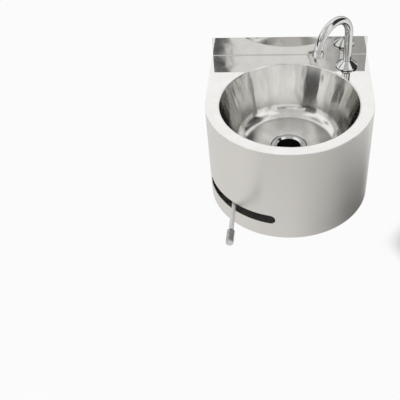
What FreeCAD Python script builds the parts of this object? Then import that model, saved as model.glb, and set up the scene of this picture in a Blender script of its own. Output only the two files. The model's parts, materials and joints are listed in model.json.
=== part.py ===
import FreeCAD, Part
import os
from math import cos, degrees, hypot, pi, radians, sin, tan

V = FreeCAD.Vector

# Wall-hung hand wash basin with a round front, a swivel spout and a lever-worked mixing valve.
# All lengths are millimetres. +X is right, -Y is the front, +Z is up, and the wall is the plane Y 0.
# Every piece is drawn with the deck's top face at Z 0, and save() lifts it so that the
# origin is the centre of the four wall fixing holes.
DECK_Z = 80.0

# Body: straight sides run from the wall to the centre of the round front
BODY_R = 200.0
SIDE_RUN = 204.0
BODY_H = 260.0
SHEET = 1.2
DECK_SHEET = 1.5
DECK_EDGE_R = 1.2
FOOT_EDGE_R = 1.0
UPSTAND_H = 52.0
UPSTAND_INSET = 2.5
FOLD_R = 2.0
HEM_W = 12.0

# Bowl: the corners of its water side, as radii and heights, and the arcs that round them
BOWL_Y = -210.0
BOWL_R = 169.6
BOWL_WALL_R = 165.6
BOWL_FLOOR_R = 127.0
BOWL_DEPTH = 126.0
SUMP_R = 45.0
SUMP_Z = -131.0
SEAT_R = 43.5
SEAT_Z = -134.0
BOWL_HOLE_R = 34.0
RIM_ROLL_R = 3.0
BOWL_CORNER_R = 36.0
SUMP_EDGE_R = 1.0
SEAT_CORNER_R = 0.6
PAD_R_IN = 56.0
PAD_R_OUT = 104.0
PAD_T = 3.0
PAD_GAP = 0.02

# Slot for the lever: bearings are degrees from straight ahead, and minus is to the left
SLOT_Z = -203.0
SLOT_H = 25.5
SLOT_RIGHT = -9.0
SLOT_LEFT = -75.0

# Cover under the body: it stops short of the wall, which leaves the pipes a way up
COVER_R = 198.0
COVER_BACK = -54.0
TRAP_HOLE_R = 45.0
COVER_SCREW_OFF = 193.5
COVER_SCREW_BACK = -72.0
COVER_SCREW_BEARING = 55.0
M4_R = 2.0
M4_LENGTH = 8.0
M4_HEAD_R = 3.8
M4_HEAD_H = 1.8
M4_KEY = 2.5
M4_NUT_AF = 7.0
M4_NUT_H = 3.2

# Wall plate
PLATE_T = 2.0
PLATE_TOP = -2.0
PLATE_LOW = -256.0
FLANGE_W = 20.0
FIXING_R = 4.5
FIXING_X = 165.0
FIXING_DZ = 50.0
WINDOW_X = (-80.0, 110.0)
WINDOW_Z = (-232.0, -92.0)
CUTOUT_R = 12.0
EARTH_X = 150.0
EARTH_Z = -205.0
EARTH_HALF_W = 8.0
EARTH_REACH = 22.0
EARTH_FOOT_H = 11.0
EARTH_HOLE_R = 3.25

# Waste
WASTE_FLANGE_R = 42.0
WASTE_FLANGE_T = 2.0
WASTE_FLANGE_EDGE = 0.8
WASTE_GROOVE_R = 35.5
WASTE_THROAT_R = 30.0
WASTE_THROAT_DROP = 4.0
WASTE_THROAT_LIP = 2.0
WASTE_BELL_DROP = 20.0
WASTE_BELL_WALL = 8.0
WASTE_TAIL_R = 23.9
WASTE_BORE_R = 20.5
WASTE_LOW = -191.0
WASTE_RELIEF = 2.0
WASTE_SEAL_T = 1.5
WASTE_NUT_AF = 60.0
WASTE_NUT_H = 10.0
CUP_R = 44.0
CUP_LOW = -155.0
CUP_T = 2.0

# Tap, fixed pieces
TAP_X = 144.0
TAP_Y = -56.0
TAP_HOLE_R = 11.0
GASKET_T = 1.5
CONE_R = 27.0
CONE_H = 17.0
CONE_RIM_H = 2.5
CONE_NECK_R = 12.0
CONE_LIP = 0.6
SHANK_R = 10.4
SHANK_BORE_R = 5.5
SHANK_LOW = -62.0
SHANK_FLANGE_R = 20.0
SHANK_FLANGE_T = 3.5
NIPPLE_TOP = 34.0
NIPPLE_CHAMFER = 1.0
O_RING_R = 0.9
O_RING_HEIGHTS = (20.0, 26.0)
BACKING_R = 28.0
BACKING_T = 2.0
TAP_WASHER_R = 18.0
TAP_WASHER_T = 2.5
TAP_NUT_AF = 30.0
TAP_NUT_H = 8.0
STOP_Z = 10.0
STOP_SCREW_R = 2.0
STOP_SCREW_NEAR = 11.8
STOP_SCREW_FAR = 18.5

# Spout: it turns STOP_TRAVEL degrees each way on the tap
TUBE_R = 10.0
TUBE_T = 1.5
LEG_Z = 89.0
ARCH_R = 57.0
ARCH_TURN = 170.0
SPOUT_BEARING = -42.0
STOP_TRAVEL = 60.0
COLLAR_R = 13.0
COLLAR_LOW = 6.0
COLLAR_TOP = 14.0
COLLAR_GROOVE = 1.5
NOZZLE_R = 12.8
NOZZLE_L = 18.0
NOZZLE_EDGE_R = 0.6
NOZZLE_GAP = 1.0
NOZZLE_SOCKET = 6.0
NOZZLE_STEP = 2.0
NOZZLE_RECESS = 1.0
AERATOR_RING_W = 2.8
AERATOR_HOLE_R = 0.9
AERATOR_PITCH = 2.7

# Valve, fixed pieces
PIVOT_X = -124.0
PIVOT_Y = -60.0
VALVE_R = 22.0
VALVE_TOP = -112.0
VALVE_LOW = -172.0
STUD_R = 10.0
STUD_H = 16.0
VALVE_NUT_AF = 30.0
VALVE_NUT_H = 7.0
CHAMBER_R = 15.0
CHAMBER_TOP = -126.0
CARTRIDGE_WALL = 1.6
CARTRIDGE_WAIST = 3.0
BONNET_AF = 38.0
BONNET_H = 10.0
DISC_R = 12.5
DISC_T = 4.0
DISC_PORT_R = 2.5
DISC_PORT_OFF = 8.0
BLOCK_X = (-160.0, -88.0)
BLOCK_Y = (-46.0, -16.0)
BLOCK_Z = (-160.0, -130.0)
INLET_DX = 24.0
INLET_Y = -31.0
INLET_LOW = -187.0
INLET_SOCKET = 10.0
OUTLET_Z = -150.0
OUTLET_SOCKET = 5.0
SOCKET_R = 9.5
PIPE_R = 10.48
PIPE_BORE_R = 6.0
PIPE_HEX_AF = 24.0
PIPE_HEX_T = 7.0
PIPE_THREAD = 16.0
CHECK_R = 8.0
CHECK_SEAT = 16.0
CHECK_RECESS = 4.0
CHECK_CUP = 5.0
CHECK_WALL = 2.5
BRACKET_T = 3.0
BRACKET_W = 52.0
BRACKET_REACH = -82.0
BRACKET_LEG = 40.0
BRACKET_HOLES = (16.0, 32.0)
M6_R = 3.0
M6_HEAD_R = 5.5
M6_HEAD_H = 3.5
M6_KEY_R = 2.0
M6_KEY_DEPTH = 2.0

# Supply hose from the valve to the tap: the corners of its route, each rounded off
HOSE_R = 5.0
HOSE_BORE_R = 3.2
HOSE_ROUTE = [
    V(-71, PIVOT_Y, OUTLET_Z),
    V(-22, PIVOT_Y, OUTLET_Z),
    V(30, -57, -162),
    V(84, -54, -160),
    V(124, -55, -144),
    V(TAP_X, TAP_Y, -112),
    V(TAP_X, TAP_Y, -71),
]
CORNER_SHARE = 0.45
COUPLING_AF = 26.0
COUPLING_SKIRT = 14.0
COUPLING_BACK = 3.0
WASHER_T = 1.5
FERRULE_FACE_R = 9.68
FERRULE_FACE_T = 2.0
FERRULE_NECK_R = 6.2
FERRULE_NECK_SPARE = 0.5
CRIMP_R = 7.4
CRIMP_L = 20.0
CRIMP_FLOOR = 1.0

# Lever: it turns on the valve
LEVER_BEARING = -1.5
LEVER_TIP = 415.5
STEM_R = 5.0
HUB_R = 16.0
HUB_H = 22.0
HUB_EDGE_R = 1.5
ROD_R = 5.0
ROD_START = 8.0
ROD_TAPER_START = 290.0
ROD_GRIP_R = 6.0
ROD_NUT_AF = 17.0
ROD_NUT_H = 6.0
GRIP_R = 9.25
GRIP_L = 36.0
GRIP_CHAMFER = 1.5
END_CAP_L = 4.0
END_CAP_STEP = 0.2
M5_R = 2.5
M5_DEPTH = 8.0
M5_HEAD_R = 4.25
M5_HEAD_H = 5.0
M5_KEY = 4.0
M5_WASHER_R = 7.0
M5_WASHER_T = 1.2

# Clearances, the chamfer on nuts, how far a cutter runs past what it cuts, and an edge test's tolerance
RUNNING = 0.05
LOOSE = 0.3
FITTED = 0.02
DISC_GAP = 0.05
NUT_CHAMFER = 1.0
PAST = 1.0
TOUCH = 0.01

UP = V(0, 0, 1)
DOWN = V(0, 0, -1)
RIGHT = V(1, 0, 0)
LEFT = V(-1, 0, 0)
BACKWARD = V(0, 1, 0)
PIVOT = V(PIVOT_X, PIVOT_Y, 0)
TAP = V(TAP_X, TAP_Y, 0)
WASTE = V(0, BOWL_Y, 0)
FRONT_CENTRE = V(0, -SIDE_RUN, 0)
EARTH = V(EARTH_X, EARTH_HALF_W - EARTH_REACH, 0)
OUTLET = V(PIVOT_X + VALVE_R, PIVOT_Y, OUTLET_Z)

WASTE_TOP = SEAT_Z + WASTE_SEAL_T + WASTE_FLANGE_T
SEAT_UNDER = SEAT_Z - SHEET
SEAL_UNDER = SEAT_UNDER - 2 * WASTE_SEAL_T
NIPPLE_R = TUBE_R - TUBE_T - RUNNING
STEM_SEAL_Z = VALVE_LOW - BONNET_H / 2
FIXED_DISC_LOW = CHAMBER_TOP - DISC_T
STEM_TOP = FIXED_DISC_LOW - DISC_T
NIPPLE_L = PIPE_HEX_T + PIPE_THREAD
INLET_L = BLOCK_Z[0] - INLET_LOW
HUB_LOW = SLOT_Z - HUB_H / 2
HUB_TOP = SLOT_Z + HUB_H / 2
GRIP_END = LEVER_TIP - END_CAP_L
GRIP_START = GRIP_END - GRIP_L


def save(node, shape):
    """Lift a piece from deck height to the fixing holes and write its file."""
    lifted = shape.copy()
    lifted.translate(V(0, 0, DECK_Z))
    if not lifted.isValid():
        raise ValueError(node + " is not a valid solid")
    lifted.exportStep(os.path.join("parts", node + ".step"))


def bearing(angle):
    """Level direction at an angle in degrees from straight ahead, minus to the left."""
    return V(sin(radians(angle)), -cos(radians(angle)), 0)


def aim(shape, origin, direction):
    """Place a piece drawn along Z so that it starts at origin and points along direction."""
    placed = shape.copy()
    placed.Placement = FreeCAD.Placement(origin, FreeCAD.Rotation(UP, direction))
    return placed


def tube(r_out, r_in, low, high, at=V(0, 0, 0)):
    """Upright cylinder between two heights, hollow when r_in is over zero."""
    base = V(at.x, at.y, low)
    body = Part.makeCylinder(r_out, high - low, base)
    if r_in > 0:
        body = body.cut(Part.makeCylinder(r_in, high - low, base))
    return body


def bar(radius, start, end):
    """Round bar between two points."""
    run = end - start
    return Part.makeCylinder(radius, run.Length, start, run)


def turned(outline, at=V(0, 0, 0)):
    """Revolve a closed outline of (radius, height) points about an upright axis."""
    corners = [V(at.x + r, at.y, z) for r, z in outline]
    face = Part.Face(Part.makePolygon(corners + corners[:1]))
    return face.revolve(V(at.x, at.y, 0), UP, 360)


def hexagon(across_flats, low, high, at=V(0, 0, 0)):
    """Upright hexagonal prism."""
    flat_r = across_flats / 2
    corner_r = flat_r / cos(pi / 6)
    corners = [V(at.x + corner_r * cos(k * pi / 3), at.y + corner_r * sin(k * pi / 3), low) for k in range(7)]
    return Part.Face(Part.makePolygon(corners)).extrude(V(0, 0, high - low))


def nut(across_flats, r_in, low, high, at=V(0, 0, 0)):
    """Upright hexagonal nut with a round hole and chamfered corners."""
    flat_r = across_flats / 2
    corner_r = flat_r / cos(pi / 6)
    envelope = turned([(0, low), (flat_r, low), (corner_r, low + NUT_CHAMFER), (corner_r, high - NUT_CHAMFER),
                       (flat_r, high), (0, high)], at)
    hole = tube(r_in, 0, low - PAST, high + PAST, at)
    return hexagon(across_flats, low, high, at).common(envelope).cut(hole)


def box(x, y, z):
    """Block between pairs of X, Y and Z limits."""
    return Part.makeBox(x[1] - x[0], y[1] - y[0], z[1] - z[0], V(x[0], y[0], z[0]))


def rounded_box(x, y, z, along):
    """Block whose edges along one direction are rounded, for cutting a window."""
    block = box(x, y, z)
    edges = [e for e in block.Edges if abs(e.tangentAt(e.FirstParameter).dot(along)) > 1 - TOUCH]
    return block.makeFillet(CUTOUT_R, edges)


def round_edges(shape, radius, edge_r):
    """Ease the full circles of a given radius on a piece drawn about the Z axis."""
    circles = [e for e in shape.Edges if e.BoundBox.ZLength < TOUCH
               and abs(e.BoundBox.XLength - 2 * radius) < TOUCH * radius]
    return shape.makeFillet(edge_r, circles)


def rounded_path(corners, radii):
    """Open wire through corners, with a tangent arc of the given radius at each inner one."""
    edges = []
    start = corners[0]
    for before, corner, after, r in zip(corners, corners[1:], corners[2:], radii):
        back = (before - corner).normalize()
        ahead = (after - corner).normalize()
        half_turn = (pi - back.getAngle(ahead)) / 2
        reach = r * tan(half_turn)
        first = corner + back * reach
        last = corner + ahead * reach
        middle = corner + (back + ahead).normalize() * (r / cos(half_turn) - r)
        edges.append(Part.LineSegment(start, first).toShape())
        edges.append(Part.Arc(first, middle, last).toShape())
        start = last
    edges.append(Part.LineSegment(start, corners[-1]).toShape())
    return Part.Wire(edges)


def swept(path, radius):
    """Round bar of a given radius along a wire."""
    start = path.OrderedEdges[0]
    heading = start.tangentAt(start.FirstParameter)
    ring = Part.Wire(Part.makeCircle(radius, start.valueAt(start.FirstParameter), heading))
    return path.makePipeShell([ring], True, False)


def swept_tube(path, r_out, r_in):
    """Hollow tube along a wire."""
    return swept(path, r_out).cut(swept(path, r_in))


def body_face(radius, back, z):
    """Flat D: straight sides from the back, and a round front."""
    left = V(-radius, back, z)
    left_front = V(-radius, -SIDE_RUN, z)
    front = V(0, -SIDE_RUN - radius, z)
    right_front = V(radius, -SIDE_RUN, z)
    right = V(radius, back, z)
    return Part.Face(Part.Wire([
        Part.LineSegment(left, left_front).toShape(),
        Part.Arc(left_front, front, right_front).toShape(),
        Part.LineSegment(right_front, right).toShape(),
        Part.LineSegment(right, left).toShape(),
    ]))


def outer_edges(shape, z):
    """Side and front edges of the body's outline at one height."""
    level = [e for e in shape.Edges if abs(e.BoundBox.ZMin - z) < TOUCH and e.BoundBox.ZLength < TOUCH]
    return [e for e in level if e.BoundBox.YLength > PAST]


# ---- body -------------------------------------------------------------------------------------

def upstand():
    """Splashback strip: a quarter-round fold from the deck, then a flat wall."""
    x = UPSTAND_INSET - BODY_R
    fold_y = -DECK_SHEET - FOLD_R

    def on_fold(radius, angle):
        return V(x, fold_y + radius * sin(radians(angle)), FOLD_R - radius * cos(radians(angle)))

    front_top = V(x, -DECK_SHEET, UPSTAND_H)
    back_top = V(x, 0, UPSTAND_H)
    back_r = FOLD_R + DECK_SHEET
    section = Part.Wire([
        Part.Arc(on_fold(FOLD_R, 0), on_fold(FOLD_R, 45), on_fold(FOLD_R, 90)).toShape(),
        Part.LineSegment(on_fold(FOLD_R, 90), front_top).toShape(),
        Part.LineSegment(front_top, back_top).toShape(),
        Part.LineSegment(back_top, on_fold(back_r, 90)).toShape(),
        Part.Arc(on_fold(back_r, 90), on_fold(back_r, 45), on_fold(back_r, 0)).toShape(),
        Part.LineSegment(on_fold(back_r, 0), on_fold(FOLD_R, 0)).toShape(),
    ])
    return Part.Face(section).extrude(V(-2 * x, 0, 0))


def deck():
    """Top sheet with its folded-up splashback, the bowl's opening and the tap's hole."""
    top = body_face(BODY_R, -DECK_SHEET - FOLD_R, -DECK_SHEET).extrude(V(0, 0, DECK_SHEET))
    top = top.makeFillet(DECK_EDGE_R, outer_edges(top, 0))
    sheet = top.fuse(upstand()).removeSplitter()
    for radius, centre in ((BOWL_R, WASTE), (TAP_HOLE_R, TAP)):
        sheet = sheet.cut(tube(radius, 0, -DECK_SHEET - PAST, PAST, centre))
    return sheet


def bowl():
    """Pressed bowl: rolled rim, sloping wall, dished floor and a sunk seat for the waste."""
    corners = [(BOWL_R, 0), (BOWL_WALL_R, 0), (BOWL_FLOOR_R, -BOWL_DEPTH), (SUMP_R, SUMP_Z),
               (SEAT_R, SEAT_Z), (BOWL_HOLE_R, SEAT_Z)]
    radii = [RIM_ROLL_R, BOWL_CORNER_R, SUMP_EDGE_R, SEAT_CORNER_R]
    path = rounded_path([V(r, BOWL_Y, z) for r, z in corners], radii)
    sections = [path.makeOffset2D(side * SHEET, fill=True, openResult=True) for side in (-1, 1)]
    underside = min(sections, key=lambda section: section.BoundBox.ZMin)
    return underside.Faces[0].revolve(WASTE, UP, 360)


def slot_cutter():
    """Band round the front with full-round ends, deep enough to cut the apron."""
    end_turn = degrees(SLOT_H / 2 / BODY_R)
    first = SLOT_LEFT + end_turn
    last = SLOT_RIGHT - end_turn
    near = BODY_R - HEM_W
    far = BODY_R + HEM_W
    low = FRONT_CENTRE + V(0, 0, SLOT_Z - SLOT_H / 2)
    high = low + V(0, 0, SLOT_H)
    start = bearing(first)
    corners = [low + start * near, low + start * far, high + start * far, high + start * near]
    band = Part.Face(Part.makePolygon(corners + corners[:1])).revolve(low, UP, last - first)
    middle = FRONT_CENTRE + V(0, 0, SLOT_Z)
    for end in (first, last):
        band = band.fuse(bar(SLOT_H / 2, middle + bearing(end) * near, middle + bearing(end) * far))
    return band


def apron():
    """Side sheet wrapped round the body, hemmed at the foot, with the lever's slot."""
    outer = body_face(BODY_R, 0, -BODY_H).extrude(V(0, 0, BODY_H - DECK_SHEET))
    outer = outer.makeFillet(FOOT_EDGE_R, outer_edges(outer, -BODY_H))
    hollow = body_face(BODY_R - SHEET, PAST, -BODY_H + SHEET).extrude(V(0, 0, BODY_H))
    mouth = body_face(BODY_R - HEM_W, PAST, -BODY_H - PAST).extrude(V(0, 0, BODY_H))
    return drill_for_cover(outer.cut(hollow).cut(mouth).cut(slot_cutter()))


def cover_screw_places():
    """Centres of the four cover screws: two at the back and two round the front."""
    places = []
    for side in (-1, 1):
        places.append(V(side * COVER_SCREW_OFF, COVER_SCREW_BACK, 0))
        places.append(FRONT_CENTRE + bearing(side * COVER_SCREW_BEARING) * COVER_SCREW_OFF)
    return places


def drill_for_cover(shape):
    """Cut the cover screws' clearance holes through the hem or the cover."""
    for place in cover_screw_places():
        shape = shape.cut(tube(M4_R + LOOSE, 0, -BODY_H - PAST, -BODY_H + 2 * SHEET + PAST, place))
    return shape


def base_cover():
    """Sheet that lies on the hem, with a hole for the trap."""
    low = -BODY_H + SHEET
    cover = body_face(COVER_R, COVER_BACK, low).extrude(V(0, 0, SHEET))
    return drill_for_cover(cover.cut(tube(TRAP_HOLE_R, 0, low - PAST, low + SHEET + PAST, WASTE)))


def cover_screws():
    """Four domed screws up through the hem and the cover."""
    crown = -BODY_H - M4_HEAD_H
    key_r = M4_KEY / 2
    screws = []
    for place in cover_screw_places():
        shank = tube(M4_R, 0, -BODY_H, -BODY_H + M4_LENGTH, place)
        head = turned([(0, crown), (M4_HEAD_R - key_r, crown), (M4_HEAD_R, crown + M4_HEAD_H / 2),
                       (M4_HEAD_R, -BODY_H), (0, -BODY_H)], place)
        key = hexagon(M4_KEY, crown - PAST, crown + key_r, place)
        screws.append(shank.fuse(head).cut(key).removeSplitter())
    return Part.makeCompound(screws)


def cover_nuts():
    """Four nuts on the cover screws."""
    low = -BODY_H + 2 * SHEET
    nuts = [nut(M4_NUT_AF, M4_R + FITTED, low, low + M4_NUT_H, place) for place in cover_screw_places()]
    return Part.makeCompound(nuts)


def wall_plate():
    """Back plate with folded side flanges, four fixing holes and a window for the pipes."""
    inside = BODY_R - SHEET
    height = (PLATE_LOW, PLATE_TOP)
    plate = box((-inside, inside), (-PLATE_T, 0), height)
    for x in ((-inside, PLATE_T - inside), (inside - PLATE_T, inside)):
        plate = plate.fuse(box(x, (-FLANGE_W, -PLATE_T), height))
    window = rounded_box(WINDOW_X, (-PLATE_T - PAST, PAST), WINDOW_Z, BACKWARD)
    plate = plate.removeSplitter().cut(window)
    for x in (-FIXING_X, FIXING_X):
        for z in (-FIXING_DZ, FIXING_DZ):
            plate = plate.cut(bar(FIXING_R, V(x, -PLATE_T - PAST, z - DECK_Z), V(x, PAST, z - DECK_Z)))
    for hole in bracket_bars(M6_R + LOOSE, -PLATE_T - PAST, PAST):
        plate = plate.cut(hole)
    return plate


def sound_pad():
    """Ring of damping sheet stuck under the bowl's floor."""
    slope = (SUMP_Z + BOWL_DEPTH) / (SUMP_R - BOWL_FLOOR_R)
    under = SUMP_Z - SHEET * hypot(1, slope) - PAD_GAP

    def top(radius):
        return under + (radius - SUMP_R) * slope

    return turned([(PAD_R_IN, top(PAD_R_IN) - PAD_T), (PAD_R_OUT, top(PAD_R_OUT) - PAD_T),
                   (PAD_R_OUT, top(PAD_R_OUT)), (PAD_R_IN, top(PAD_R_IN))], WASTE)


def earth_tab():
    """Bent tab on the wall plate for the earth bonding wire."""
    x = (EARTH_X - EARTH_HALF_W, EARTH_X + EARTH_HALF_W)
    low = EARTH_Z - PLATE_T / 2
    high = EARTH_Z + PLATE_T / 2
    foot = box(x, (-2 * PLATE_T, -PLATE_T), (low, low + EARTH_FOOT_H))
    tab = box(x, (-EARTH_REACH, -PLATE_T), (low, high)).fuse(foot).removeSplitter()
    return tab.cut(tube(EARTH_HOLE_R, 0, low - PAST, high + PAST, EARTH))


# ---- waste ------------------------------------------------------------------------------------

def waste_flange():
    """Polished waste: flat ring with a groove, a bell throat and a threaded tail."""
    low = WASTE_TOP - WASTE_FLANGE_T
    rim_z = WASTE_TOP - WASTE_FLANGE_EDGE
    throat_z = WASTE_TOP - WASTE_THROAT_DROP
    bell_z = WASTE_TOP - WASTE_BELL_DROP
    bell_r = BOWL_HOLE_R - LOOSE
    nut_low = CUP_LOW - WASTE_NUT_H
    return turned([
        (WASTE_FLANGE_R, low),
        (WASTE_FLANGE_R, rim_z),
        (WASTE_FLANGE_R - WASTE_FLANGE_EDGE, WASTE_TOP),
        (WASTE_GROOVE_R + WASTE_FLANGE_EDGE, WASTE_TOP),
        (WASTE_GROOVE_R + WASTE_FLANGE_EDGE, rim_z),
        (WASTE_GROOVE_R, rim_z),
        (WASTE_GROOVE_R, WASTE_TOP),
        (WASTE_GROOVE_R - WASTE_FLANGE_EDGE, WASTE_TOP),
        (WASTE_THROAT_R, throat_z),
        (WASTE_THROAT_R, throat_z - WASTE_THROAT_LIP),
        (WASTE_BORE_R, bell_z),
        (WASTE_BORE_R, WASTE_LOW),
        (WASTE_TAIL_R, WASTE_LOW),
        (WASTE_TAIL_R, nut_low - WASTE_RELIEF),
        (WASTE_TAIL_R - WASTE_FLANGE_EDGE, nut_low - WASTE_RELIEF),
        (WASTE_TAIL_R - WASTE_FLANGE_EDGE, nut_low),
        (WASTE_TAIL_R, nut_low),
        (WASTE_TAIL_R, bell_z - PAST),
        (bell_r, WASTE_TOP - WASTE_BELL_WALL),
        (bell_r, low),
    ], WASTE)


def waste_seal_upper():
    """Soft ring between the waste's flange and its seat."""
    return tube(WASTE_FLANGE_R - PAST, BOWL_HOLE_R, SEAT_Z, SEAT_Z + WASTE_SEAL_T, WASTE)


def waste_seal_lower():
    """Soft ring between the underside of the seat and the clamping cup."""
    return tube(CUP_R - CUP_T, BOWL_HOLE_R, SEAL_UNDER, SEAT_UNDER, WASTE)


def waste_clamp_cup():
    """Pressed cup that carries the lock nut's pull up to the bowl."""
    mouth_r = BOWL_HOLE_R + LOOSE
    floor_r = WASTE_TAIL_R + LOOSE
    return turned([
        (mouth_r, SEAL_UNDER), (CUP_R, SEAL_UNDER), (CUP_R, CUP_LOW), (floor_r, CUP_LOW),
        (floor_r, CUP_LOW + CUP_T), (CUP_R - CUP_T, CUP_LOW + CUP_T), (CUP_R - CUP_T, SEAL_UNDER - CUP_T),
        (mouth_r, SEAL_UNDER - CUP_T),
    ], WASTE)


def waste_locknut():
    """Back nut on the waste's tail."""
    return nut(WASTE_NUT_AF, WASTE_TAIL_R + FITTED, CUP_LOW - WASTE_NUT_H, CUP_LOW, WASTE)


# ---- tap: fixed pieces ------------------------------------------------------------------------

def tap_gasket():
    """Soft ring under the tap."""
    return tube(CONE_R - GASKET_T, SHANK_R + LOOSE, 0, GASKET_T, TAP)


def stop_bar(radius, near, far):
    """Level bar behind the spout, between two distances from its axis."""
    away = bearing(SPOUT_BEARING + 180)
    axis = V(TAP_X, TAP_Y, STOP_Z)
    return bar(radius, axis + away * near, axis + away * far)


def tap_flange():
    """Conical cover over the tap's foot, with a hole behind for the stop screw."""
    foot_r = SHANK_FLANGE_R + FITTED
    roof_low = GASKET_T + SHANK_FLANGE_T + LOOSE
    cavity_r = COLLAR_R + LOOSE
    cavity_top = COLLAR_TOP + 2 * LOOSE
    bore_r = TUBE_R + RUNNING
    cone = turned([
        (foot_r, GASKET_T), (CONE_R, GASKET_T), (CONE_R, GASKET_T + CONE_RIM_H), (CONE_NECK_R, CONE_H),
        (CONE_NECK_R - PAST, CONE_H + CONE_LIP), (bore_r, CONE_H + CONE_LIP), (bore_r, cavity_top),
        (cavity_r, cavity_top), (cavity_r, roof_low), (foot_r, roof_low),
    ], TAP)
    return cone.cut(stop_bar(STOP_SCREW_R + FITTED, STOP_SCREW_NEAR, CONE_R + PAST))


def spout_stop_screw():
    """Grub screw whose tip rides in the spout's groove, keeps it in and limits its turn."""
    return stop_bar(STOP_SCREW_R, STOP_SCREW_NEAR, STOP_SCREW_FAR)


def tap_shank():
    """Threaded shank through the deck, with a nipple for the spout to turn on."""
    flange_top = GASKET_T + SHANK_FLANGE_T
    shank = turned([
        (SHANK_BORE_R, SHANK_LOW), (SHANK_R, SHANK_LOW), (SHANK_R, GASKET_T), (SHANK_FLANGE_R, GASKET_T),
        (SHANK_FLANGE_R, flange_top), (NIPPLE_R, flange_top), (NIPPLE_R, NIPPLE_TOP - NIPPLE_CHAMFER),
        (NIPPLE_R - NIPPLE_CHAMFER, NIPPLE_TOP), (SHANK_BORE_R, NIPPLE_TOP),
    ], TAP)
    for z in O_RING_HEIGHTS:
        shank = shank.cut(tube(NIPPLE_R + PAST, NIPPLE_R - 2 * O_RING_R, z - O_RING_R, z + O_RING_R, TAP))
    return shank


def spout_o_rings():
    """Two sealing rings in the nipple's grooves."""
    rings = [Part.makeTorus(NIPPLE_R - O_RING_R, O_RING_R, V(TAP_X, TAP_Y, z), UP) for z in O_RING_HEIGHTS]
    return Part.makeCompound(rings)


def tap_backing_plate():
    """Stiffening disc welded under the deck round the tap's hole."""
    return tube(BACKING_R, TAP_HOLE_R, -DECK_SHEET - BACKING_T, -DECK_SHEET, TAP)


def tap_washer():
    """Washer between the backing plate and the lock nut."""
    top = -DECK_SHEET - BACKING_T
    return tube(TAP_WASHER_R, SHANK_R + LOOSE, top - TAP_WASHER_T, top, TAP)


def tap_locknut():
    """Nut that holds the tap to the deck."""
    top = -DECK_SHEET - BACKING_T - TAP_WASHER_T
    return nut(TAP_NUT_AF, SHANK_R + FITTED, top - TAP_NUT_H, top, TAP)


# ---- spout: turns on the tap ------------------------------------------------------------------

def spout_route():
    """Centre line of the swan neck, where the nozzle starts on it, and which way the nozzle points."""
    ahead = bearing(SPOUT_BEARING)
    spring = V(TAP_X, TAP_Y, LEG_Z)

    def on_arch(angle):
        turn = radians(angle)
        return spring + ahead * (ARCH_R * (1 - cos(turn))) + UP * (ARCH_R * sin(turn))

    arch_end = on_arch(ARCH_TURN)
    heading = ahead * sin(radians(ARCH_TURN)) + UP * cos(radians(ARCH_TURN))
    path = Part.Wire([
        Part.LineSegment(V(TAP_X, TAP_Y, COLLAR_LOW), spring).toShape(),
        Part.Arc(spring, on_arch(ARCH_TURN / 2), arch_end).toShape(),
        Part.LineSegment(arch_end, arch_end + heading * (NOZZLE_GAP + NOZZLE_SOCKET)).toShape(),
    ])
    return path, arch_end + heading * NOZZLE_GAP, heading


def spout_tube():
    """Bent tube of the swan neck: upright leg, round arch and a short drop."""
    path = spout_route()[0]
    return swept_tube(path, TUBE_R, TUBE_R - TUBE_T)


def spout_base_collar():
    """Ring brazed on the foot of the spout, with a part-round groove for the stop screw."""
    ring = tube(COLLAR_R, TUBE_R, COLLAR_LOW, COLLAR_TOP, TAP)
    floor_r = COLLAR_R - COLLAR_GROOVE
    screw_turn = degrees((STOP_SCREW_R + LOOSE) / floor_r)
    start = bearing(SPOUT_BEARING + 180 - STOP_TRAVEL - screw_turn)
    low = V(TAP_X, TAP_Y, STOP_Z - STOP_SCREW_R - LOOSE)
    high = V(TAP_X, TAP_Y, STOP_Z + STOP_SCREW_R + LOOSE)
    far = COLLAR_R + PAST
    corners = [low + start * floor_r, low + start * far, high + start * far, high + start * floor_r]
    groove_end = Part.Face(Part.makePolygon(corners + corners[:1]))
    return ring.cut(groove_end.revolve(TAP, UP, 2 * (STOP_TRAVEL + screw_turn)))


def at_nozzle(shape):
    """Place a piece drawn from Z 0 upwards so that it runs on down from the nozzle's top."""
    origin, heading = spout_route()[1:]
    return aim(shape, origin, heading)


def aerator_housing():
    """Sleeve round the spout's mouth that holds the aerator."""
    bore = TUBE_R + FITTED
    ledge = NOZZLE_SOCKET + NOZZLE_STEP
    shell = tube(NOZZLE_R, TUBE_R - TUBE_T / 2, 0, NOZZLE_L)
    shell = shell.cut(tube(bore, 0, -PAST, NOZZLE_SOCKET)).cut(tube(bore, 0, ledge, NOZZLE_L + PAST))
    return at_nozzle(round_edges(shell, NOZZLE_R, NOZZLE_EDGE_R))


def aerator_washer():
    """Soft ring behind the aerator."""
    low = NOZZLE_SOCKET + NOZZLE_STEP
    return at_nozzle(tube(TUBE_R - FITTED, TUBE_R - AERATOR_RING_W, low, low + WASHER_T))


def aerator_insert():
    """Aerator cartridge with rings of outlet holes."""
    low = NOZZLE_SOCKET + NOZZLE_STEP + WASHER_T
    high = NOZZLE_L - NOZZLE_RECESS
    insert = tube(TUBE_R - FITTED, 0, low, high)
    for ring in range(3):
        count = max(1, 6 * ring)
        for k in range(count):
            turn = 2 * pi * k / count
            centre = V(cos(turn), sin(turn), 0) * (ring * AERATOR_PITCH)
            insert = insert.cut(tube(AERATOR_HOLE_R, 0, low - PAST, high + PAST, centre))
    return at_nozzle(insert)


# ---- valve: fixed pieces ----------------------------------------------------------------------

def inlet_foot(side):
    """Centre of an inlet on the block's underside: side -1 is hot, on the left, and 1 is cold."""
    return V(PIVOT_X + side * INLET_DX, INLET_Y, BLOCK_Z[0])


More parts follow.
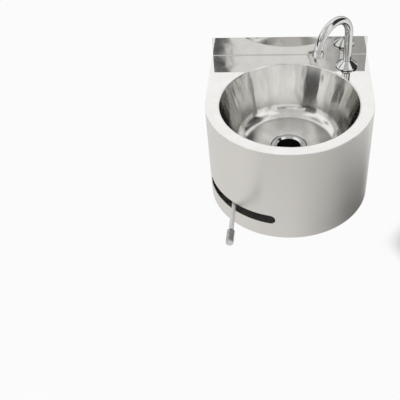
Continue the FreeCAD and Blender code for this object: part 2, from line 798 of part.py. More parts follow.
def valve_body():
    """Brass mixing valve: chamber, mounting stud, inlet block and side outlet."""
    body = tube(VALVE_R, 0, VALVE_LOW, VALVE_TOP, PIVOT)
    body = body.fuse(tube(STUD_R, 0, VALVE_TOP, VALVE_TOP + STUD_H, PIVOT))
    body = body.fuse(box(BLOCK_X, BLOCK_Y, BLOCK_Z)).removeSplitter()
    body = body.cut(tube(CHAMBER_R, 0, VALVE_LOW - PAST, CHAMBER_TOP, PIVOT))
    for side in (-1, 1):
        foot = inlet_foot(side)
        body = body.cut(bar(SOCKET_R, foot + DOWN, foot + UP * INLET_SOCKET))
        body = body.cut(bar(PIPE_BORE_R, foot, foot + UP * (INLET_SOCKET + PIPE_BORE_R)))
    body = body.cut(bar(SOCKET_R, OUTLET + RIGHT, OUTLET + LEFT * OUTLET_SOCKET))
    return body.cut(bar(PIPE_BORE_R, OUTLET, OUTLET + LEFT * VALVE_R))


def valve_bonnet():
    """Screwed cover that closes the valve's chamber, grooved for the stem's seal."""
    cover = nut(BONNET_AF, STEM_R + RUNNING, VALVE_LOW - BONNET_H, VALVE_LOW, PIVOT)
    groove_r = STEM_R + RUNNING + 2 * O_RING_R
    return cover.cut(tube(groove_r, 0, STEM_SEAL_Z - O_RING_R, STEM_SEAL_Z + O_RING_R, PIVOT))


def stem_seal():
    """Sealing ring round the stem, in the cover's groove."""
    return Part.makeTorus(STEM_R + RUNNING + O_RING_R, O_RING_R, V(PIVOT_X, PIVOT_Y, STEM_SEAL_Z), UP)


def fixed_disc():
    """Ceramic disc with the hot, cold and mixed ports."""
    disc = tube(CHAMBER_R - RUNNING, 0, FIXED_DISC_LOW, CHAMBER_TOP, PIVOT)
    for angle in (-120, 120, 0):
        port = PIVOT + bearing(angle) * DISC_PORT_OFF
        disc = disc.cut(tube(DISC_PORT_R, 0, FIXED_DISC_LOW - PAST, CHAMBER_TOP + PAST, port))
    return disc


def valve_cartridge():
    """Plastic housing that guides the stem and holds the discs, waisted at the outlet."""
    outer_r = CHAMBER_R - RUNNING
    shoulder = STEM_TOP - DISC_T - PAST
    cup = tube(outer_r, outer_r - CARTRIDGE_WALL, shoulder, FIXED_DISC_LOW, PIVOT)
    guide = tube(outer_r, STEM_R + RUNNING, VALVE_LOW, shoulder, PIVOT)
    waist_r = STEM_R + CARTRIDGE_WAIST
    waist = tube(CHAMBER_R + PAST, waist_r, OUTLET_Z - PIPE_BORE_R, OUTLET_Z + PIPE_BORE_R, PIVOT)
    return cup.fuse(guide).removeSplitter().cut(waist)


def bracket_bars(radius, front, back):
    """Two level bars behind the valve, one above the other, between two distances from the wall."""
    heights = [VALVE_TOP + rise for rise in BRACKET_HOLES]
    return [bar(radius, V(PIVOT_X, front, z), V(PIVOT_X, back, z)) for z in heights]


def valve_bracket():
    """Angle that hangs the valve from the wall plate."""
    x = (PIVOT_X - BRACKET_W / 2, PIVOT_X + BRACKET_W / 2)
    shelf = box(x, (BRACKET_REACH, -PLATE_T), (VALVE_TOP, VALVE_TOP + BRACKET_T))
    leg = box(x, (-PLATE_T - BRACKET_T, -PLATE_T), (VALVE_TOP, VALVE_TOP + BRACKET_LEG))
    angle = shelf.fuse(leg).removeSplitter()
    bend = V(PIVOT_X, -PLATE_T - BRACKET_T, VALVE_TOP + BRACKET_T)
    inner = [e for e in angle.Edges if e.CenterOfMass.isEqual(bend, TOUCH)]
    angle = angle.makeFillet(BRACKET_T, inner)
    angle = angle.cut(tube(STUD_R + LOOSE, 0, VALVE_TOP - PAST, VALVE_TOP + BRACKET_T + PAST, PIVOT))
    for hole in bracket_bars(M6_R + LOOSE, -PLATE_T - BRACKET_T - PAST, 0):
        angle = angle.cut(hole)
    return angle


def valve_mount_nut():
    """Nut on the valve's stud, above the bracket."""
    low = VALVE_TOP + BRACKET_T
    return nut(VALVE_NUT_AF, STUD_R + FITTED, low, low + VALVE_NUT_H, PIVOT)


def bracket_screws():
    """Two socket screws through the bracket into the wall plate."""
    face = -PLATE_T - BRACKET_T
    crown = face - M6_HEAD_H
    shanks = bracket_bars(M6_R, face, 0)
    heads = bracket_bars(M6_HEAD_R, crown, face)
    keys = bracket_bars(M6_KEY_R, crown, crown + M6_KEY_DEPTH)
    screws = [shank.fuse(head).cut(key).removeSplitter() for shank, head, key in zip(shanks, heads, keys)]
    return Part.makeCompound(screws)


def nipple(length, spigot):
    """Threaded tail drawn along Z: spigot below 0, then a hexagon, then the thread."""
    tail = tube(SOCKET_R - FITTED, PIPE_BORE_R, -spigot, 0)
    tail = tail.fuse(nut(PIPE_HEX_AF, PIPE_BORE_R, 0, PIPE_HEX_T))
    return tail.fuse(tube(PIPE_R, PIPE_BORE_R, PIPE_HEX_T, length)).removeSplitter()


def inlet_tail(side):
    """Threaded inlet of the valve, pointing down, bored at its end for an insert."""
    tail = nipple(INLET_L, INLET_SOCKET).cut(tube(CHECK_R, 0, INLET_L - CHECK_SEAT, INLET_L + PAST))
    return aim(tail, inlet_foot(side), DOWN)


def check_valve(side):
    """Non-return insert inside an inlet."""
    mouth = INLET_L - CHECK_RECESS
    insert = tube(CHECK_R - RUNNING, 0, INLET_L - CHECK_SEAT, mouth)
    insert = insert.cut(tube(CHECK_R - CHECK_WALL, 0, mouth - CHECK_CUP, mouth + PAST))
    return aim(insert, inlet_foot(side), DOWN)


def outlet_nipple():
    """Threaded outlet of the valve, pointing right."""
    return aim(nipple(NIPPLE_L, OUTLET_SOCKET), OUTLET, RIGHT)


# ---- hose -------------------------------------------------------------------------------------

def hose_nut():
    """Union nut: threaded skirt, and a back wall that pulls the ferrule in."""
    wall = WASHER_T + FERRULE_FACE_T
    body = nut(COUPLING_AF, FERRULE_NECK_R + LOOSE, -COUPLING_SKIRT, wall + COUPLING_BACK)
    return body.cut(tube(PIPE_R + FITTED, 0, -COUPLING_SKIRT - PAST, wall))


def hose_washer():
    """Flat washer between a thread's end and the ferrule."""
    return tube(FERRULE_FACE_R, PIPE_BORE_R, 0, WASHER_T)


def hose_ferrule():
    """Ferrule: sealing face, neck and the sleeve crimped over the hose."""
    face_top = WASHER_T + FERRULE_FACE_T
    crimp = face_top + COUPLING_BACK + FERRULE_NECK_SPARE
    ferrule = tube(FERRULE_FACE_R, HOSE_BORE_R, WASHER_T, face_top)
    ferrule = ferrule.fuse(tube(FERRULE_NECK_R, HOSE_BORE_R, face_top, crimp))
    ferrule = ferrule.fuse(tube(CRIMP_R, HOSE_BORE_R, crimp, crimp + CRIMP_FLOOR))
    return ferrule.fuse(tube(CRIMP_R, HOSE_R, crimp, crimp + CRIMP_L)).removeSplitter()


def at_hose_ends(shape):
    """A piece drawn from a thread's end face towards the hose, placed at both ends of it."""
    return {
        "valve": aim(shape, OUTLET + RIGHT * NIPPLE_L, RIGHT),
        "tap": aim(shape, V(TAP_X, TAP_Y, SHANK_LOW), DOWN),
    }


def supply_hose():
    """Braided hose from the valve to the tap, in straight runs joined by tangent arcs."""
    radii = []
    for before, corner, after in zip(HOSE_ROUTE, HOSE_ROUTE[1:], HOSE_ROUTE[2:]):
        shorter = min((corner - before).Length, (after - corner).Length)
        turn = (corner - before).getAngle(after - corner)
        radii.append(CORNER_SHARE * shorter / tan(turn / 2))
    path = rounded_path(HOSE_ROUTE, radii)
    print("hose bend radii", [round(r) for r in radii], "length", round(path.Length))
    return swept_tube(path, HOSE_R, HOSE_BORE_R)


# ---- lever: turns on the valve ----------------------------------------------------------------

def along_lever(shape):
    """Place a piece drawn up Z from the pivot so that it points out along the lever."""
    return aim(shape, V(PIVOT_X, PIVOT_Y, SLOT_Z), bearing(LEVER_BEARING))


def moving_disc():
    """Ceramic disc that the stem turns over the ports."""
    disc = tube(DISC_R, 0, STEM_TOP, FIXED_DISC_LOW - DISC_GAP, PIVOT)
    port = PIVOT + bearing(0) * DISC_PORT_OFF
    return disc.cut(tube(DISC_PORT_R, 0, STEM_TOP - PAST, FIXED_DISC_LOW, port))


def valve_stem():
    """Spindle with the driving flange for the disc and a tapped lower end."""
    flange = tube(DISC_R, 0, STEM_TOP - DISC_T, STEM_TOP, PIVOT)
    shaft = tube(STEM_R, 0, HUB_LOW, STEM_TOP - DISC_T, PIVOT)
    return flange.fuse(shaft).removeSplitter().cut(tube(M5_R, 0, HUB_LOW - PAST, HUB_LOW + M5_DEPTH, PIVOT))


def lever_hub():
    """Boss that joins the lever to the stem."""
    hub = round_edges(tube(HUB_R, 0, HUB_LOW, HUB_TOP), HUB_R, HUB_EDGE_R)
    hub.translate(PIVOT)
    hub = hub.cut(tube(STEM_R, 0, HUB_LOW - PAST, HUB_TOP + PAST, PIVOT))
    return hub.cut(along_lever(tube(ROD_R, 0, ROD_START, HUB_R + PAST)))


def lever_hub_screw():
    """Cap screw and its washer that hold the boss on the stem."""
    seat = HUB_LOW - M5_WASHER_T
    screw = tube(M5_R, 0, HUB_LOW, HUB_LOW + M5_DEPTH - LOOSE, PIVOT)
    screw = screw.fuse(tube(M5_WASHER_R, 0, seat, HUB_LOW, PIVOT))
    screw = screw.fuse(tube(M5_HEAD_R, 0, seat - M5_HEAD_H, seat, PIVOT)).removeSplitter()
    return screw.cut(hexagon(M5_KEY, seat - M5_HEAD_H - PAST, seat - M5_HEAD_H / 2, PIVOT))


def lever_rod():
    """Polished rod, a little thicker towards the grip."""
    outline = [(0, ROD_START), (ROD_R, ROD_START), (ROD_R, ROD_TAPER_START), (ROD_GRIP_R, GRIP_START),
               (ROD_GRIP_R, GRIP_END), (0, GRIP_END)]
    return along_lever(turned(outline))


def lever_locknut():
    """Jam nut on the rod against the boss."""
    start = HUB_R + LOOSE
    return along_lever(nut(ROD_NUT_AF, ROD_R, start, start + ROD_NUT_H))


def lever_grip():
    """Sleeve for the hand, chamfered at its inner end."""
    chamfer_end = GRIP_START + GRIP_CHAMFER
    outline = [(ROD_GRIP_R, GRIP_START), (GRIP_R - GRIP_CHAMFER, GRIP_START), (GRIP_R, chamfer_end),
               (GRIP_R, GRIP_END), (ROD_GRIP_R, GRIP_END)]
    return along_lever(turned(outline))


def grip_end_cap():
    """Plain end of the grip with an eased edge."""
    cap_r = GRIP_R - END_CAP_STEP
    outline = [(0, GRIP_END), (cap_r, GRIP_END), (cap_r, LEVER_TIP - PAST), (cap_r - PAST, LEVER_TIP),
               (0, LEVER_TIP)]
    return along_lever(turned(outline))


SINGLE_PIECES = (
    deck, bowl, apron, base_cover, cover_screws, cover_nuts, wall_plate, sound_pad, earth_tab,
    waste_flange, waste_seal_upper, waste_seal_lower, waste_clamp_cup, waste_locknut,
    tap_gasket, tap_flange, spout_stop_screw, tap_shank, spout_o_rings,
    tap_backing_plate, tap_washer, tap_locknut,
    spout_tube, spout_base_collar, aerator_housing, aerator_washer, aerator_insert,
    valve_body, valve_bonnet, stem_seal, fixed_disc, valve_cartridge,
    valve_bracket, valve_mount_nut, bracket_screws, outlet_nipple, supply_hose,
    moving_disc, valve_stem, lever_hub, lever_hub_screw, lever_rod, lever_locknut,
    lever_grip, grip_end_cap,
)


def main():
    os.makedirs("parts", exist_ok=True)
    for piece in SINGLE_PIECES:
        save(piece.__name__, piece())
    for side, water in ((-1, "hot"), (1, "cold")):
        save(water + "_inlet_tail", inlet_tail(side))
        save(water + "_check_valve", check_valve(side))
    for piece in (hose_nut, hose_washer, hose_ferrule):
        for end, shape in at_hose_ends(piece()).items():
            save(piece.__name__ + "_" + end, shape)


main()
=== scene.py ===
import json
from math import atan2, cos, floor, pi, radians, sin

import bpy
from mathutils import Matrix, Vector


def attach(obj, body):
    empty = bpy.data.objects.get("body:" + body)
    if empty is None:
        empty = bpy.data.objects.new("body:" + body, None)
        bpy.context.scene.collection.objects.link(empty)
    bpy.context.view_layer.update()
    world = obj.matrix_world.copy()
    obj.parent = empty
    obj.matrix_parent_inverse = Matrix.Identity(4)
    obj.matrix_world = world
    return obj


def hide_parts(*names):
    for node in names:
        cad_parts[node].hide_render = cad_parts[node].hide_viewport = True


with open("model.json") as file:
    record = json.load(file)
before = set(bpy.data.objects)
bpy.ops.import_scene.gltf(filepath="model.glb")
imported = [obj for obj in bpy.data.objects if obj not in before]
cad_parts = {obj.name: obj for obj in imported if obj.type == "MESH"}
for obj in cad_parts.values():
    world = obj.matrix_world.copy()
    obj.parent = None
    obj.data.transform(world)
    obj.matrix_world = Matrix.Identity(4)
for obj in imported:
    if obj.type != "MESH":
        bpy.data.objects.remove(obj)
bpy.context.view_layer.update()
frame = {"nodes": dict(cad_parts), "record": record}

MM = 0.001
DECK_Z = 80 * MM
DECK = Vector((0, 0, DECK_Z))
UP = Vector((0, 0, 1))


def bearing(degrees):
    """Level direction, measured from straight ahead of the basin with right positive."""
    return Vector((sin(radians(degrees)), -cos(radians(degrees)), 0))


# Lever and grip, in mm from the lever's pivot outwards
LEVER_PIVOT = DECK + Vector((-124, -60, -203)) * MM
LEVER_AHEAD = bearing(-1.5)
GRIP_BACK, GRIP_FRONT = 375.5, 411.5
GRIP_R, GRIP_BORE_R, GRIP_CHAMFER = 9.25, 6.3, 1.5
KNURL_DEPTH = 0.8
# How far under the knurl's top the painted shade of the valleys gives way to the worn crests' bare steel, and
# where the steel shows fully, in mm
CREST_FOOT, CREST_TOP = 0.45, 0.15

# Heights in mm from the deck's top: where the bowl's floor ends and its wall begins, and the waste's bevel
BOWL_FLOOR_TOP, BOWL_WALL_FOOT = -112, -70
WASTE_BORE_TOP, WASTE_BEVEL_FOOT = -135.6, -134.6

# Foot of the tap, whose axis the spout turns on
TAP_FOOT = Vector((144, -56, 0)) * MM


# ---- shader nodes -----------------------------------------------------------------------------

def linear(colour):
    """sRGB hex to the linear values that Blender works in."""
    parts = [int(colour[i:i + 2], 16) / 255 for i in (1, 3, 5)]
    return [c / 12.92 if c <= 0.04045 else ((c + 0.055) / 1.055) ** 2.4 for c in parts] + [1.0]


def add(tree, kind, sockets=None, **settings):
    """Add a node, set it up, and give its inputs a value or join them to another node's output."""
    made = tree.nodes.new(kind)
    for name, value in settings.items():
        setattr(made, name, value)
    for key, value in (sockets or {}).items():
        if isinstance(value, bpy.types.NodeSocket):
            tree.links.new(value, made.inputs[key])
        else:
            made.inputs[key].default_value = value
    return made


# Noise seldom leaves this range, so the range is stretched to run from 0 to 1
NOISE_LOW, NOISE_HIGH = 0.3, 0.7


def cloud(tree, size_mm, detail=2.0):
    """Noise from 0 to 1 whose blobs measure size_mm along X, Y and Z of the object."""
    where = add(tree, "ShaderNodeTexCoord").outputs["Object"]
    scaled = add(tree, "ShaderNodeMapping", {"Vector": where, "Scale": [1 / (s * MM) for s in size_mm]})
    noise = add(tree, "ShaderNodeTexNoise", {
        "Vector": scaled.outputs[0], "Scale": 1.0, "Detail": detail})
    return add(tree, "ShaderNodeMapRange", {
        "Value": noise.outputs["Fac"], "From Min": NOISE_LOW, "From Max": NOISE_HIGH}).outputs[0]


def height_share(tree, low_mm, high_mm):
    """0 below one height under the deck and 1 above another."""
    where = add(tree, "ShaderNodeTexCoord").outputs["Object"]
    height = add(tree, "ShaderNodeSeparateXYZ", {0: where}).outputs["Z"]
    return add(tree, "ShaderNodeMapRange", {
        "Value": height, "From Min": DECK_Z + low_mm * MM, "From Max": DECK_Z + high_mm * MM,
    }, interpolation_type="SMOOTHSTEP").outputs[0]


MIX_SHARE, MIX_FROM, MIX_TO, MIX_COLOUR = 0, 6, 7, 2


def finish(name, colours, cloud_mm, rough, relief_mm=None, depth_mm=0.0, metallic=1.0, **sockets):
    """Material whose colour and roughness drift together in clouds, over a fine relief."""
    made = bpy.data.materials.new(name)
    made.use_nodes = True
    tree = made.node_tree
    tree.nodes.clear()
    drift = cloud(tree, cloud_mm, detail=3.0)
    colour = add(tree, "ShaderNodeMix", {
        MIX_SHARE: drift, MIX_FROM: linear(colours[0]), MIX_TO: linear(colours[1])}, data_type="RGBA")
    sheen = add(tree, "ShaderNodeMapRange", {"Value": drift, "To Min": rough[0], "To Max": rough[1]})
    shader = add(tree, "ShaderNodeBsdfPrincipled", {
        "Base Color": colour.outputs[MIX_COLOUR], "Metallic": metallic, "Roughness": sheen.outputs[0]})
    if relief_mm:
        relief = add(tree, "ShaderNodeBump", {
            "Height": cloud(tree, relief_mm), "Distance": depth_mm * MM})
        tree.links.new(relief.outputs[0], shader.inputs["Normal"])
    for key, value in sockets.items():
        shader.inputs[key.replace("_", " ")].default_value = value
    add(tree, "ShaderNodeOutputMaterial", {"Surface": shader.outputs[0]})
    return made


def shader_of(made):
    return made.node_tree.nodes["Principled BSDF"]


# Quarter of a turn, from along the tangent to across it
GRAIN_TURN = 0.25


def grain_round(made, amount):
    """Run a metal's grain level round the upright axis, so that highlights are drawn out up and down."""
    shader = shader_of(made)
    tangent = add(made.node_tree, "ShaderNodeTangent", direction_type="RADIAL", axis="Z")
    made.node_tree.links.new(tangent.outputs[0], shader.inputs["Tangent"])
    shader.inputs["Anisotropic"].default_value = amount
    shader.inputs["Anisotropic Rotation"].default_value = GRAIN_TURN
    return made


# ---- finishes ---------------------------------------------------------------------------------

BOWL_WAVE_MM, BOWL_WAVE_DEPTH = (26, 26, 110), 0.5


def spun_bowl():
    """304 bowl buffed while it turns: a smooth bright floor, and a wall whose slow upright waves and fine
    level rings break reflections into long streaks."""
    made = finish("spun_polished_304_bowl", ("#E6E5E1", "#F2F1EE"), (25, 25, 60), (0.09, 0.17),
                  Specular_Tint=linear("#9A9A9A"))
    tree, shader = made.node_tree, shader_of(made)
    wall = height_share(tree, BOWL_FLOOR_TOP, BOWL_WALL_FOOT)
    sheen = add(tree, "ShaderNodeMapRange", {"Value": wall, "To Min": 0.14, "To Max": 0.12})
    depth = add(tree, "ShaderNodeMapRange", {"Value": wall, "To Min": 0.15, "To Max": 1.0})
    waves = add(tree, "ShaderNodeMath", {
        0: cloud(tree, BOWL_WAVE_MM, detail=1.0), 1: depth.outputs[0]}, operation="MULTIPLY")
    relief = add(tree, "ShaderNodeBump", {"Height": waves.outputs[0], "Distance": BOWL_WAVE_DEPTH * MM})
    tree.links.new(sheen.outputs[0], shader.inputs["Roughness"])
    tree.links.new(relief.outputs[0], shader.inputs["Normal"])
    return grain_round(made, 1.0)


def waste_ring():
    """Turned 304 waste: bright ring and bevel, and a bore below them that is dull and painted dark as the
    shade down the drain.
    """
    made = finish("turned_304_waste", ("#DADAD9", "#E8E8E7"), (4, 4, 4), (0.05, 0.09),
                  Specular_Tint=linear("#8C8C8C"))
    tree, shader = made.node_tree, shader_of(made)
    bright = height_share(tree, WASTE_BORE_TOP, WASTE_BEVEL_FOOT)
    steel = shader.inputs["Base Color"].links[0].from_socket
    # The bore is painted near black as the shade down the drain
    colour = add(tree, "ShaderNodeMix", {
        MIX_SHARE: bright, MIX_FROM: linear("#1E1C1A"), MIX_TO: steel}, data_type="RGBA")
    sheen = add(tree, "ShaderNodeMapRange", {"Value": bright, "To Min": 0.6, "To Max": 0.07})
    tree.links.new(colour.outputs[MIX_COLOUR], shader.inputs["Base Color"])
    tree.links.new(sheen.outputs[0], shader.inputs["Roughness"])
    return made


def knurled_bar():
    """304 bar with a rolled diamond knurl: worn bright crests, over valleys and slopes that are dull and
    painted near black as shade."""
    made = finish("rolled_knurl_304_bar", ("#E6E6E5", "#F4F4F3"), (2, 2, 2), (0.10, 0.20))
    tree, shader = made.node_tree, shader_of(made)
    where = add(tree, "ShaderNodeTexCoord").outputs["Object"]
    off = add(tree, "ShaderNodeVectorMath", {0: where, 1: LEVER_PIVOT}, operation="SUBTRACT").outputs[0]
    across = add(tree, "ShaderNodeVectorMath", {0: off, 1: LEVER_AHEAD}, operation="CROSS_PRODUCT")
    radius = add(tree, "ShaderNodeVectorMath", {0: across.outputs[0]}, operation="LENGTH").outputs["Value"]
    crest = add(tree, "ShaderNodeMapRange", {
        "Value": radius, "From Min": (GRIP_R - CREST_FOOT) * MM, "From Max": (GRIP_R - CREST_TOP) * MM})
    steel = shader.inputs["Base Color"].links[0].from_socket
    # Valleys and slopes are painted near black as shade, and the crests keep the steel's own colour
    colour = add(tree, "ShaderNodeMix", {
        MIX_SHARE: crest.outputs[0], MIX_FROM: linear("#0A0A0A"), MIX_TO: steel}, data_type="RGBA")
    sheen = add(tree, "ShaderNodeMapRange", {"Value": crest.outputs[0], "To Min": 0.45, "To Max": 0.14})
    tree.links.new(colour.outputs[MIX_COLOUR], shader.inputs["Base Color"])
    tree.links.new(sheen.outputs[0], shader.inputs["Roughness"])
    return made


FINISH = {
    # 304 sheet, pressed and then buffed: nearly a mirror, with the slow waves of pressed sheet
    "mirror_steel": finish("mirror_polished_304_sheet", ("#ECEBE8", "#F2F1EF"), (30, 30, 30),
                           (0.04, 0.07), (70, 70, 70), 0.1),
    # 304 sheet with a fine satin grain that runs level round the body: soft, slightly upright highlights. The
    # grain's lines are drawn 0.7 mm apart, coarser than real ones, so that they show
    "satin_steel": grain_round(finish("satin_grained_304_sheet", ("#D9D6D0", "#DDDAD5"), (160, 160, 5),
                                      (0.36, 0.44), (60, 60, 0.7), 0.005), 0.35),
    # Sheet as it leaves the rolls: dull, cloudy and a little streaked along the roll
    "mill_steel": finish("mill_finish_304_sheet", ("#A3A4A3", "#B9BAB9"), (25, 25, 25), (0.30, 0.45),
                         (80, 2, 80), 0.01),
    # Bar and tube, turned and buffed: bright, with faint rings left by the buffing wheel
    "polished_steel": finish("polished_304_bar", ("#DADAD9", "#E8E8E7"), (4, 4, 4), (0.05, 0.09),
                             (30, 30, 1.2), 0.004, Specular_Tint=linear("#8C8C8C")),
    "knurled_steel": knurled_bar(),
    # Cold-headed screws and nuts: plain, slightly dull, with tool marks
    "fastener_steel": finish("cold_headed_a2_fastener", ("#A8A8A6", "#C2C2C0"), (1.5, 1.5, 0.4),
                             (0.22, 0.38), (1.5, 1.5, 0.4), 0.01),
    # Turned brass: warm yellow with fine turning lines and a slight tarnish
    "brass": finish("turned_brass", ("#B08D4A", "#D8B873"), (12, 12, 12), (0.20, 0.36),
                    (20, 20, 0.5), 0.008),
    # Brass under bright nickel: a warmer, softer shine than steel
    "nickel_plate": finish("nickel_plated_brass", ("#BEB9AD", "#D6D2C7"), (3, 3, 3), (0.12, 0.22)),
    # Drawn wire woven over the hose: bright crowns on each wire
    "braid": finish("woven_304_wire_braid", ("#9A9B9D", "#D4D5D6"), (1, 1, 1), (0.18, 0.32)),
    # Moulded black rubber: matte with a faint bloom
    "black_rubber": finish("moulded_black_nitrile", ("#1B1B1C", "#2C2C2D"), (3, 3, 3), (0.55, 0.75),
                           (3, 3, 3), 0.02, metallic=0.0),
    # Pressed vulcanised fibre: dull red-brown with short fibres
    "fibre_washer": finish("vulcanised_red_fibre", ("#6E2A20", "#95453A"), (0.4, 2, 0.4), (0.6, 0.8),
                           (0.4, 2, 0.4), 0.03, metallic=0.0),
    # Filled rubber sheet stuck on to deaden the bowl: dead matte and grainy
    "damping_sheet": finish("filled_rubber_damping_sheet", ("#242424", "#3C3B3A"), (1.2, 1.2, 1.2),
                            (0.75, 0.9), (1.2, 1.2, 1.2), 0.12, metallic=0.0),
    # Moulded acetal: white, smooth and slightly waxy
    "white_plastic": finish("moulded_white_acetal", ("#DAD9D2", "#ECEBE5"), (5, 5, 5), (0.35, 0.5),
                            (5, 5, 5), 0.01, metallic=0.0),
    # Lapped alumina: ivory, dense and glossy
    "ceramic": finish("lapped_alumina_ceramic", ("#E2DED2", "#EFECE3"), (0.8, 0.8, 0.8), (0.12, 0.2),
                      metallic=0.0, IOR=1.7),
}
# Pieces whose own work differs from the rest of their stock
OWN_FINISH = {
    "bowl": spun_bowl(),
    "waste_flange": waste_ring(),
    # Steel rod painted an even white that stands in for the white studio its polished steel mirrors, with a
    # soft sheen, a little uneven in clouds
    "lever_rod": finish("white_painted_reflection_rod", ("#F8F8F7", "#FCFCFB"), (4, 12, 4), (0.32, 0.42),
                        (6, 14, 6), 0.02, metallic=0.0),
    # End cap faced on the lathe: even pale grey
    "grip_end_cap": finish("faced_304_cap", ("#CFCFCE", "#D6D6D5"), (2, 2, 2), (0.30, 0.38)),
}
for part in frame["record"]["subparts"]:
    for holder in frame["nodes"][part["node"]].material_slots:
        holder.material = OWN_FINISH.get(part["node"], FINISH[part["material_slot"]])


# ---- pieces -----------------------------------------------------------------------------------

MERGE_UNDER = 0.01 * MM


def turned(name, profile, sides):
    """Closed outline of radius and height in mm, turned round Z by extruding a ring from point to point."""
    bpy.ops.object.select_all(action="DESELECT")
    bpy.ops.mesh.primitive_circle_add(vertices=sides, radius=profile[0][0] * MM, location=(0, 0, 0))
    made = bpy.context.object
    made.name = made.data.name = name
    bpy.ops.object.mode_set(mode="EDIT")
    bpy.ops.mesh.select_mode(type="VERT")
    bpy.ops.mesh.select_all(action="SELECT")
    before = profile[0]
    for point in profile[1:] + profile[:1]:
        rise = (point[1] - before[1]) * MM
        bpy.ops.mesh.extrude_region_move(TRANSFORM_OT_translate={"value": (0, 0, rise)})
        wider = point[0] / before[0]
        bpy.ops.transform.resize(value=(wider, wider, 1), center_override=(0, 0, 0))
        before = point
    bpy.ops.mesh.select_all(action="SELECT")
    bpy.ops.mesh.remove_doubles(threshold=MERGE_UNDER)
    bpy.ops.mesh.normals_make_consistent(inside=False)
    bpy.ops.object.mode_set(mode="OBJECT")
    return made


# Slack when faces and edges are picked: mm on a place, and the sine of a tilt on a direction
SLACK = 0.1


def pick(piece, kind, wanted):
    """Select the faces or edges for which wanted(middle, direction) is true, and go on in edit mode."""
    bpy.ops.object.mode_set(mode="EDIT")
    bpy.ops.mesh.select_mode(type=kind)
    bpy.ops.mesh.select_all(action="DESELECT")
    bpy.ops.object.mode_set(mode="OBJECT")
    mesh = piece.data
    if kind == "FACE":
        for face in mesh.polygons:
            face.select = wanted(face.center, face.normal)
    else:
        for edge in mesh.edges:
            ends = [mesh.vertices[k].co for k in edge.vertices]
            edge.select = wanted((ends[0] + ends[1]) / 2, (ends[1] - ends[0]).normalized())
    bpy.ops.object.mode_set(mode="EDIT")


def radius_mm(point):
    return Vector((point.x, point.y)).length / MM


SMOOTH_UNDER = radians(28)


def put(piece, start, heading, body, node, slot):
    """Lay a piece that was drawn up Z along its heading, and let it stand for a CAD node."""
    bpy.ops.object.mode_set(mode="OBJECT")
    piece.matrix_world = Matrix.Translation(start) @ heading.to_track_quat("Z", "Y").to_matrix().to_4x4()
    bpy.ops.object.transform_apply(location=True, rotation=True, scale=True)
    bpy.ops.object.shade_smooth_by_angle(angle=SMOOTH_UNDER)
    stand_for(piece, body, node, slot)


def stand_for(piece, body, node, slot):
    """Give a piece its finish and its body, and let it take the place of a CAD node."""
    piece.data.materials.clear()
    piece.data.materials.append(FINISH[slot])
    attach(piece, body)
    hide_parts(node)


# Diamonds round the grip and along it, several times coarser than on a common knurl, because a fine one
# wouldn't show at this size. The slope is how far a diamond draws in on its way up, in mm
KNURL_SIDES, KNURL_ROWS = 12, 6
KNURL_SLOPE = 0.6


def knurled_grip():
    """Grip sleeve with crossed knurl lines. The cells of a grid are poked and the grid's own lines dissolved,
    which leaves diamonds, and each diamond is raised to a flat-topped crest."""
    root, length = GRIP_R - KNURL_DEPTH, GRIP_FRONT - GRIP_BACK
    row = (length - GRIP_CHAMFER) / KNURL_ROWS
    side = [(root, GRIP_CHAMFER + row * k) for k in range(KNURL_ROWS + 1)]
    back = [(GRIP_BORE_R, 0), (root - GRIP_CHAMFER, 0)]
    grip = turned("knurled_grip", back + side + [(GRIP_BORE_R, length)], KNURL_SIDES)

    def outside(middle):
        return radius_mm(middle) > (GRIP_BORE_R + root) / 2

    def on_knurl(middle, normal):
        return abs(normal.z) < SLACK and outside(middle)

    def grid_line(middle, direction):
        inside = GRIP_CHAMFER + SLACK < middle.z / MM < length - SLACK
        return inside and outside(middle) and not SLACK < abs(direction.z) < 1 - SLACK

    def diamond(middle, normal):
        return abs(normal.z) < 2 * SLACK and outside(middle)

    pick(grip, "FACE", on_knurl)
    bpy.ops.mesh.poke(offset=root * (1 - cos(pi / KNURL_SIDES)) * MM)
    pick(grip, "EDGE", grid_line)
    bpy.ops.mesh.dissolve_edges(use_verts=False)
    pick(grip, "FACE", diamond)
    bpy.ops.mesh.inset(thickness=KNURL_SLOPE * MM, depth=KNURL_DEPTH * MM, use_individual=True)
    foot = LEVER_PIVOT + LEVER_AHEAD * GRIP_BACK * MM
    put(grip, foot, LEVER_AHEAD, "lever", "lever_grip", "knurled_steel")


SPOUT_AHEAD = bearing(-42)
ARCH_R, ARCH_TURN, ARCH_FOOT_Z = 57.0, radians(170), 89.0
NOZZLE_GAP, NOZZLE_L = 1.0, 18.0
NOZZLE_R, NOZZLE_ROOT_R, NOZZLE_BORE_R, NOZZLE_LEDGE_R = 12.8, 12.0, 10.05, 9.25
NOZZLE_BAND, NOZZLE_EDGE = 3.6, 0.6
NOZZLE_LEDGE = (6.0, 8.0)
MILLED_SIDES = 48
RIB_DRAFT = 0.1


